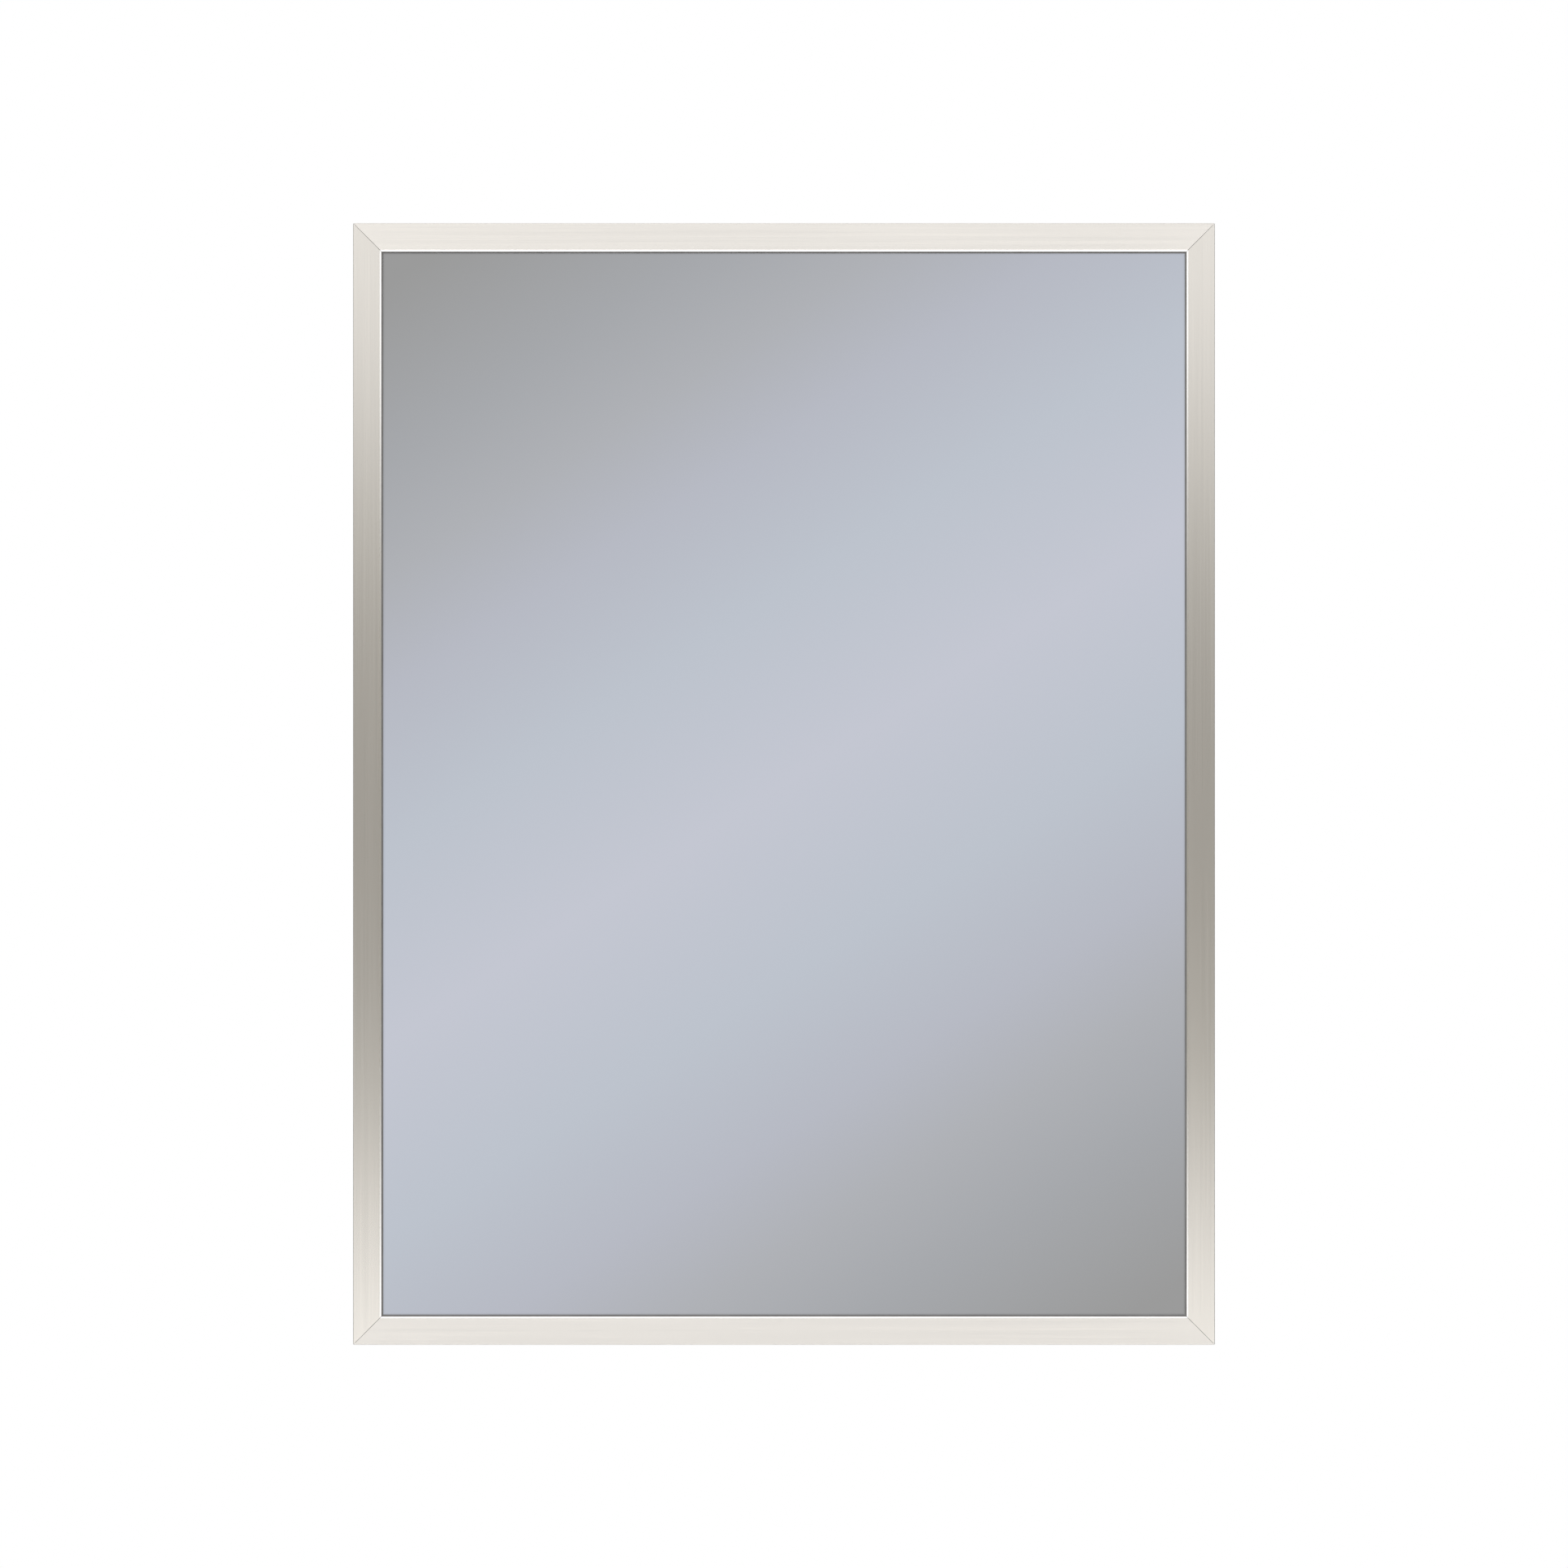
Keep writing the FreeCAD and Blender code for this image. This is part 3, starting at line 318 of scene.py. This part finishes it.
def paint_door_frame():
    # corner=0.46 is painted shade that darkens the uprights' outer chamfers
    stile = brushed("brushed_nickel_upright", NICKEL, "z", "x", 0.24, 1.0, corner=0.46)
    rail = brushed("brushed_nickel_level", NICKEL, "x", "z", 0.24, 1.0)
    paint(stile, "door_left_stile", "door_right_stile")
    paint(rail, "door_top_rail", "door_bottom_rail")


def paint_body():
    upright = brushed("anodised_upright", ALUMINIUM, "z", "y", 0.36, 0.5, streak=0.04)
    level = brushed("anodised_level", ALUMINIUM, "x", "y", 0.36, 0.5, streak=0.04)
    paint(upright, "left_side_panel", "right_side_panel", *ending("shelf_standard"))
    paint(level, "top_panel", "bottom_panel", "upper_mounting_rail", "lower_mounting_rail")
    paint(rolled_sheet(), "back_panel")


def rolled_sheet():
    """Plain mill-finish sheet: long rolling lines, faint stains and a few scuffs."""

    def build(g):
        lines = g.noise(1.0, (700.0, 700.0, 3.0), detail=4.0)
        stains = g.noise(5.0, detail=5.0, rough=0.6)
        scuffs = g.noise(1.0, (60.0, 60.0, 900.0), detail=2.0)
        tone = g.remap(g.math("ADD", lines, g.math("MULTIPLY", stains, 0.8)), 0.6, 1.2)
        base = g.mix(tone, (0.56, 0.57, 0.58, 1), (0.72, 0.73, 0.74, 1))
        base = g.mix(g.math("MULTIPLY", g.remap(scuffs, 0.66, 0.74), 0.35), base, (0.82, 0.83, 0.84, 1))
        return {
            "Base Color": base,
            "Roughness": g.remap(stains, 0.3, 0.7, 0.34, 0.5),
            "Normal": g.bump(lines, 0.006 * MM, 0.6),
        }

    return principled("rolled_sheet", build, Metallic=1.0)


def paint_hardware():
    paint(plated("satin_nickel_plate", (0.74, 0.72, 0.69), 0.24), *ending("hinge_arm", "hinge_base"))
    paint(plated("cast_zinc", (0.66, 0.66, 0.66), 0.36, 0.1, 1400.0), *ending("hinge_housing"))
    paint(plated("ground_steel", (0.62, 0.61, 0.60), 0.2), *ending("hinge_pin", "pole_plates", "door_strike"))
    paint(plated("zinc_sheet", (0.60, 0.60, 0.59), 0.32, 0.12, 500.0), *ending("corner_key"))
    paint(plated("bright_zinc", (0.70, 0.70, 0.69), 0.2, 0.06), *ending("screws"))
    paint(plated("aluminium_rivet", (0.74, 0.75, 0.76), 0.3, 0.06), "back_rivets")
    paint(plated("shelf_support_plate", (0.75, 0.75, 0.74), 0.22, 0.05), *ending("shelf_supports"))


# ---- glass and mirrors ----


def silvered(name, facing, half_x, half_z):
    """A silvered sheet. facing is the Y direction that its bright side looks in."""

    def build(g):
        normal = g.rest_normal()
        front = g.remap(g.math("MULTIPLY", normal[1], facing), 0.93, 0.97)
        back = g.remap(g.math("MULTIPLY", normal[1], -facing), 0.93, 0.97)
        point = g.add("SeparateXYZ", {"Vector": g.place()}).outputs
        from_side = g.math("SUBTRACT", half_x, g.math("ABSOLUTE", point[0]))
        from_end = g.math("SUBTRACT", half_z, g.math("ABSOLUTE", point[2]))
        margin = g.math("MINIMUM", from_side, from_end)
        wander = g.math("MULTIPLY", g.math("SUBTRACT", g.noise(35.0), 0.5), 0.5 * MM)
        shade = g.remap(g.math("ADD", margin, wander), 0.0, 1.4 * MM, 0.86, 1.0)
        silver = g.mix(1.0, (*SILVER, 1), shade, "MULTIPLY")
        glass_edge = g.mix(g.noise(900.0), (0.16, 0.34, 0.27, 1), (0.30, 0.50, 0.42, 1))
        backing = g.mix(g.noise(300.0), (0.20, 0.21, 0.23, 1), (0.27, 0.28, 0.30, 1))
        base = g.mix(front, g.mix(back, glass_edge, backing), silver)
        smudge = g.noise(14.0, detail=4.0, rough=0.65)
        specks = g.noise(2600.0, detail=1.0)
        haze = g.math("ADD", g.remap(smudge, 0.52, 0.75, 0.004, 0.02), g.remap(specks, 0.74, 0.8, 0.0, 0.02))
        return {
            "Base Color": base,
            "Metallic": front,
            "Roughness": g.mix(front, (0.4, 0.4, 0.4, 1), haze),
        }

    return principled(name, build, Specular_IOR_Level=0.5)


def paint_mirrors():
    door = silvered("door_silver", -1, DOOR_HALF.x - SEAL_IN, DOOR_HALF.z - SEAL_IN)
    paint(door, "door_mirror")
    for node, facing in (("inner_mirror", 1), ("back_mirror", -1)):
        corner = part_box(node)[1]
        paint(silvered(node + "_silver", facing, corner.x, corner.z), node)


def shelf_glass():
    """Clear tempered glass: green along its ground edges, with faint wipe marks on its faces."""

    def build(g):
        normal = g.rest_normal()
        edge = g.remap(g.math("ABSOLUTE", normal[2]), 0.9, 0.5)
        wipe = g.noise(1.0, (8.0, 60.0, 8.0), detail=4.0)
        grind = g.noise(1.0, (120.0, 2500.0, 2500.0), detail=2.0)
        return {
            "Base Color": g.mix(edge, (0.93, 0.98, 0.965, 1), (0.42, 0.72, 0.62, 1)),
            "Roughness": g.math("ADD", g.remap(wipe, 0.5, 0.8, 0.0, 0.03), g.math("MULTIPLY", edge, 0.12)),
            "Normal": g.bump(g.math("MULTIPLY", grind, edge), 0.01 * MM, 0.5),
        }

    return principled("shelf_glass", build, Transmission_Weight=1.0, IOR=1.52)


# ---- boards, plastics and rubber ----


def fibreboard():
    """Pressed fibreboard: short fibres in several browns, with a soft surface."""

    def build(g):
        fibres = g.noise(1.0, (2600.0, 500.0, 900.0), detail=5.0)
        flakes = g.noise(700.0, detail=4.0)
        base = g.ramp(g.math("MULTIPLY", g.math("ADD", fibres, flakes), 0.5), [
            (0.30, (0.16, 0.095, 0.05, 1)),
            (0.50, (0.33, 0.21, 0.12, 1)),
            (0.70, (0.50, 0.36, 0.23, 1)),
        ])
        return {"Base Color": base, "Roughness": 0.8, "Normal": g.bump(fibres, 0.05 * MM, 0.7)}

    return principled("fibreboard", build)


def moulded(name, colour, roughness, grain=1800.0, **fixed):
    """Moulded plastic or rubber with a fine spark texture and slight handling marks."""

    def build(g):
        texture = g.noise(grain, detail=3.0)
        marks = g.noise(40.0, detail=4.0)
        dark = tuple(c * 0.9 for c in colour) + (1.0,)
        light = tuple(min(c * 1.06, 1.0) for c in colour) + (1.0,)
        return {
            "Base Color": g.mix(g.remap(marks, 0.35, 0.65), dark, light),
            "Roughness": g.remap(texture, 0.3, 0.7, roughness * 0.88, roughness * 1.12),
            "Normal": g.bump(texture, 0.012 * MM, 0.5),
        }

    return principled(name, build, **fixed)


def ferrite():
    """Sintered ferrite: near black, with fine pores."""

    def build(g):
        pores = g.noise(2400.0, detail=2.0)
        return {
            "Base Color": g.mix(g.remap(pores, 0.4, 0.6), (0.05, 0.05, 0.055, 1), (0.12, 0.12, 0.12, 1)),
            "Roughness": g.remap(pores, 0.3, 0.7, 0.45, 0.6),
            "Normal": g.bump(pores, 0.03 * MM, 0.8),
        }

    return principled("sintered_ferrite", build, Metallic=0.6)


# ---- meshes ----


def mesh_object(name, rings, caps=True, closed_path=False):
    """A skin over rings of points, which are closed loops of the same length."""
    mesh = bmesh.new()
    loops = [[mesh.verts.new(p) for p in ring] for ring in rings]
    pairs = list(zip(loops, loops[1:]))
    if closed_path:
        pairs.append((loops[-1], loops[0]))
    for a, b in pairs:
        for i in range(len(a)):
            j = (i + 1) % len(a)
            mesh.faces.new((a[i], a[j], b[j], b[i]))
    if caps and not closed_path:
        mesh.faces.new(reversed(loops[0]))
        mesh.faces.new(loops[-1])
    bmesh.ops.recalc_face_normals(mesh, faces=mesh.faces)
    data = bpy.data.meshes.new(name)
    mesh.to_mesh(data)
    mesh.free()
    made = bpy.data.objects.new(name, data)
    scene.collection.objects.link(made)
    return made


def smooth(piece, degrees=35.0):
    """Shades a piece smooth, with its corners over this angle kept crisp."""
    limit = math.radians(degrees)
    for polygon in piece.data.polygons:
        polygon.use_smooth = True
    work = bmesh.new()
    work.from_mesh(piece.data)
    for edge in work.edges:
        edge.smooth = len(edge.link_faces) == 2 and edge.calc_face_angle(0) < limit
    work.to_mesh(piece.data)
    work.free()


def arc(centre, radius, start, end, steps):
    """Points on an arc in a plane, angles in degrees."""
    for i in range(steps + 1):
        angle = math.radians(start + (end - start) * i / steps)
        yield centre[0] + radius * math.cos(angle), centre[1] + radius * math.sin(angle)


def door_seal(material):
    """The seal between the frame and the door's mirror, drawn round the door as one mitred section."""
    low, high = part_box("glass_seal")
    front, back = low.y, high.y
    flange_in = DOOR_HALF.x - high.x
    flange_front = back - SEAL_FLANGE_T
    section = [
        (flange_in, back),
        (flange_in, flange_front),
        (FACE, flange_front),
        (FACE, front),
        *arc((SEAL_IN - SEAL_ROUND, front + SEAL_ROUND), SEAL_ROUND, -90, 0, 5),
        (SEAL_IN, back),
    ]
    rings = []
    for sx, sz in ((-1, -1), (1, -1), (1, 1), (-1, 1)):
        rings.append([(sx * (DOOR_HALF.x - i), y, sz * (DOOR_HALF.z - i)) for i, y in section])
    seal = mesh_object("door_seal", rings, closed_path=True)
    smooth(seal)
    seal.data.materials.append(material)
    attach(seal, "door")
    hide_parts("glass_seal")


def door_bumper(node, material):
    """A turned soft dome with a thin foot, stuck to the back of the door."""
    low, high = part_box(node)
    centre = (low + high) / 2
    radius, rise = (high.x - low.x) / 2, high.y - low.y
    foot, crown = 0.5 * MM, 1.9 * MM
    neck = radius - 0.35 * MM
    profile = [(radius, 0.0), (radius, foot * 0.6), (radius - 0.15 * MM, foot), (neck, foot * 1.6)]
    profile += [(r, h) for r, h in arc((neck - crown, rise - crown), crown, 0, 80, 8)]
    profile.append((0.6 * MM, rise))
    rings = []
    for r, h in profile:
        turn = (math.tau * i / 40 for i in range(40))
        rings.append([(centre.x + r * math.cos(t), low.y + h, centre.z + r * math.sin(t)) for t in turn])
    dome = mesh_object(node + "_dome", rings)
    smooth(dome, 50)
    dome.data.materials.append(material)
    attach(dome, "door")
    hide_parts(node)


def pad_rings(centre, half_x, half_y, rise, corner):
    """The rings of one soft pad, which swells a little and is crowned at the top."""
    for level, inset in ((0.0, 0.12), (0.15, 0.0), (0.6, 0.0), (0.85, 0.1), (1.0, 0.35)):
        inset *= MM
        ring = []
        for quarter, (sx, sy) in enumerate(((1, 1), (-1, 1), (-1, -1), (1, -1))):
            corner_at = (centre.x + sx * (half_x - corner), centre.y + sy * (half_y - corner))
            ring += arc(corner_at, corner - inset, 90 * quarter, 90 * quarter + 90, 6)
        yield [(x, y, centre.z + level * rise) for x, y in ring]


def shelf_pads(material):
    """The pads between the supports and the shelves, in the places that the CAD pads have."""
    source = bmesh.new()
    source.from_mesh(nodes["shelf_support_pads"].data)
    bmesh.ops.remove_doubles(source, verts=source.verts, dist=1e-6)
    seen, pads = set(), []
    for vert in source.verts:
        if vert in seen:
            continue
        island, queue = [], [vert]
        seen.add(vert)
        while queue:
            here = queue.pop()
            island.append(here.co.copy())
            for edge in here.link_edges:
                other = edge.other_vert(here)
                if other not in seen:
                    seen.add(other)
                    queue.append(other)
        low = Vector(map(min, zip(*island)))
        high = Vector(map(max, zip(*island)))
        pads.append((low, high))
    source.free()
    parts = []
    for i, (low, high) in enumerate(pads):
        centre = Vector(((low.x + high.x) / 2, (low.y + high.y) / 2, low.z))
        size = high - low
        rings = pad_rings(centre, size.x / 2, size.y / 2, size.z, PAD_CORNER)
        parts.append(mesh_object(f"shelf_pad_{i}", list(rings)))
    for part in parts:
        smooth(part, 50)
        part.data.materials.append(material)
        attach(part, "cabinet")
    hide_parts("shelf_support_pads")


def round_edges(names, width, segments=2):
    """Breaks the sharp edges of CAD pieces."""
    for name in names:
        bevel = nodes[name].modifiers.new("edges", "BEVEL")
        bevel.width = width
        bevel.segments = segments
        bevel.limit_method = "ANGLE"
        bevel.angle_limit = math.radians(40)
        bevel.harden_normals = True
        bevel.use_clamp_overlap = True


# ---- stage ----


def make_camera():
    data = bpy.data.cameras.new("camera")
    data.lens, data.sensor_width = LENS, SENSOR
    camera = bpy.data.objects.new("camera", data)
    camera.location = (0, DOOR_FRONT - CAMERA_BACK, 0)
    camera.rotation_euler = (math.radians(90), 0, 0)
    scene.collection.objects.link(camera)
    scene.camera = camera


def make_floor():
    """A pale floor that fades out towards its rim."""
    turn = (math.tau * i / 96 for i in range(96))
    ring = [(FLOOR_RADIUS * math.cos(t), FLOOR_RADIUS * math.sin(t), FLOOR_Z) for t in turn]
    mesh = bmesh.new()
    mesh.faces.new([mesh.verts.new(p) for p in ring])
    data = bpy.data.meshes.new("floor")
    mesh.to_mesh(data)
    mesh.free()
    floor = bpy.data.objects.new("floor", data)
    scene.collection.objects.link(floor)
    material = bpy.data.materials.new("pale_floor")
    g = Graph(material)
    matt = g.add("BsdfPrincipled", {
        "Base Color": g.mix(g.noise(3.0), (0.74, 0.74, 0.74, 1), (0.78, 0.78, 0.78, 1)),
        "Roughness": 0.6,
    })
    flat = g.vector_math("MULTIPLY", g.place(), (1, 1, 0))
    away = g.vector_math("LENGTH", flat)
    fade_from, fade_to = (FLOOR_RADIUS * share for share in FLOOR_FADE)
    fade = g.remap(away, fade_from, fade_to, kind="SMOOTHSTEP")
    clear = g.add("BsdfTransparent")
    blend = g.add("MixShader", {"Fac": fade})
    g.tree.links.new(matt.outputs[0], blend.inputs[1])
    g.tree.links.new(clear.outputs[0], blend.inputs[2])
    g.finish(blend.outputs[0])
    data.materials.append(material)


def seen_in_silver(r, g, b):
    """The light that shows as this display colour in the mirror."""
    colour = linear(r, g, b)
    return tuple(c / s for c, s in zip(colour, SILVER)) + (1.0,)


def make_world():
    """White behind everything. Around it a soft studio with a soft window on each side, a tall strip and a
    wide strip of light that cross at the camera, a dim slit along the middle of the wide one, and behind the
    camera a card with a soft diagonal band of light."""
    world = bpy.data.worlds.new("studio")
    scene.world = world
    g = Graph(world)
    direction = g.add("TexCoord").outputs["Generated"]
    x, y, z = g.add("SeparateXYZ", {"Vector": direction}).outputs
    front = g.math("MULTIPLY", y, -1.0)
    turned = g.math("ABSOLUTE", g.math("ARCTAN2", x, front))  # radians round from straight behind the camera
    height = g.math("ARCSINE", z)
    raised = g.math("ABSOLUTE", g.math("ADD", height, math.radians(DROP)))

    def fading(value, places, kind="SMOOTHSTEP"):
        """From 0 to 1 as an angle goes between two places."""
        gone, full = map(math.radians, places)
        return g.remap(value, gone, full, kind=kind)

    def patch(round_places, up_places):
        """A patch of light that fades out at its sides, top and foot."""
        return g.math("MULTIPLY", fading(turned, round_places), fading(raised, up_places))

    room = g.ramp(g.remap(z, -1, 1), ROOM)
    window = fading(turned, WINDOW_ROUND[0])
    for side in (fading(turned, WINDOW_ROUND[1]), *(fading(height, places) for places in WINDOW_UP)):
        window = g.math("MULTIPLY", window, side)
    room = g.mix(window, room, WINDOW)
    above = g.remap(z, -0.05, 0.05)
    wide, tall = patch(WIDE_ROUND, WIDE_UP), patch(TALL_ROUND, TALL_UP)
    for strip, (low, high) in ((wide, WIDE), (tall, TALL)):
        room = g.mix(strip, room, g.mix(above, (low, low, low, 1), (high, high, high, 1)))
    slit = g.math("MULTIPLY", fading(raised, SLIT_UP, "LINEAR"), fading(turned, WIDE_ROUND))
    room = g.mix(slit, room, SLIT_COLOUR)

    sideways = g.math(
        "SUBTRACT", g.math("MULTIPLY", x, math.cos(BAND_TILT)), g.math("MULTIPLY", z, math.sin(BAND_TILT))
    )
    off_band = g.math("DIVIDE", g.math("ABSOLUTE", sideways), g.math("MAXIMUM", front, 0.05))
    card = g.ramp(g.math("DIVIDE", off_band, BAND_WIDTH), [
        (0.00, seen_in_silver(196, 199, 210)),
        (0.25, seen_in_silver(189, 195, 205)),
        (0.45, seen_in_silver(183, 186, 196)),
        (0.60, seen_in_silver(175, 177, 182)),
        (0.75, seen_in_silver(166, 168, 172)),
        (0.97, seen_in_silver(155, 155, 155)),
    ])
    studio = g.mix(patch(CARD_ROUND, CARD_UP), room, card)
    white = g.add("Background", {"Color": (1, 1, 1, 1)})
    lit = g.add("Background", {"Color": studio})
    choice = g.add("MixShader", {"Fac": g.add("LightPath").outputs["Is Camera Ray"]})
    g.tree.links.new(lit.outputs[0], choice.inputs[1])
    g.tree.links.new(white.outputs[0], choice.inputs[2])
    g.finish(choice.outputs[0])


def soft_light(name, place, size, power):
    """A large soft light that looks at the cabinet and shows in no reflection."""
    data = bpy.data.lights.new(name, "AREA")
    data.size, data.energy = size, power
    light = bpy.data.objects.new(name, data)
    light.location = place
    light.rotation_euler = (-Vector(place)).to_track_quat("-Z", "Y").to_euler()
    light.visible_glossy = False
    scene.collection.objects.link(light)


# ---- putting it together ----

paint_door_frame()
paint_body()
paint_hardware()
paint_mirrors()
paint(shelf_glass(), "lower_shelf", "middle_shelf", "upper_shelf")
paint(fibreboard(), "back_board", "door_core")
paint(moulded("catch_plastic", (0.84, 0.84, 0.82), 0.42), *ending("catch_housing"))
paint(ferrite(), *ending("catch_magnet"))
rubber = moulded("seal_rubber", (0.20, 0.197, 0.193), 0.62, 2600.0)
vinyl = moulded("clear_vinyl", (0.86, 0.87, 0.86), 0.3, 900.0, Transmission_Weight=0.55, IOR=1.45)

door_seal(rubber)
for bumper in ending("door_bumper"):
    door_bumper(bumper, vinyl)
shelf_pads(vinyl)

round_edges(ending("_stile", "door_top_rail", "door_bottom_rail"), 0.12 * MM)
round_edges(ending("_panel", "mounting_rail", "shelf_standard"), 0.3 * MM)
round_edges(ending("hinge_arm", "hinge_base", "hinge_housing", "catch_housing", "door_strike"), 0.3 * MM)

make_camera()
make_floor()
make_world()
soft_light("key", (-2.4, -2.8, 2.6), size=1.8, power=45)
soft_light("fill", (2.8, 1.6, 1.8), size=1.8, power=20)
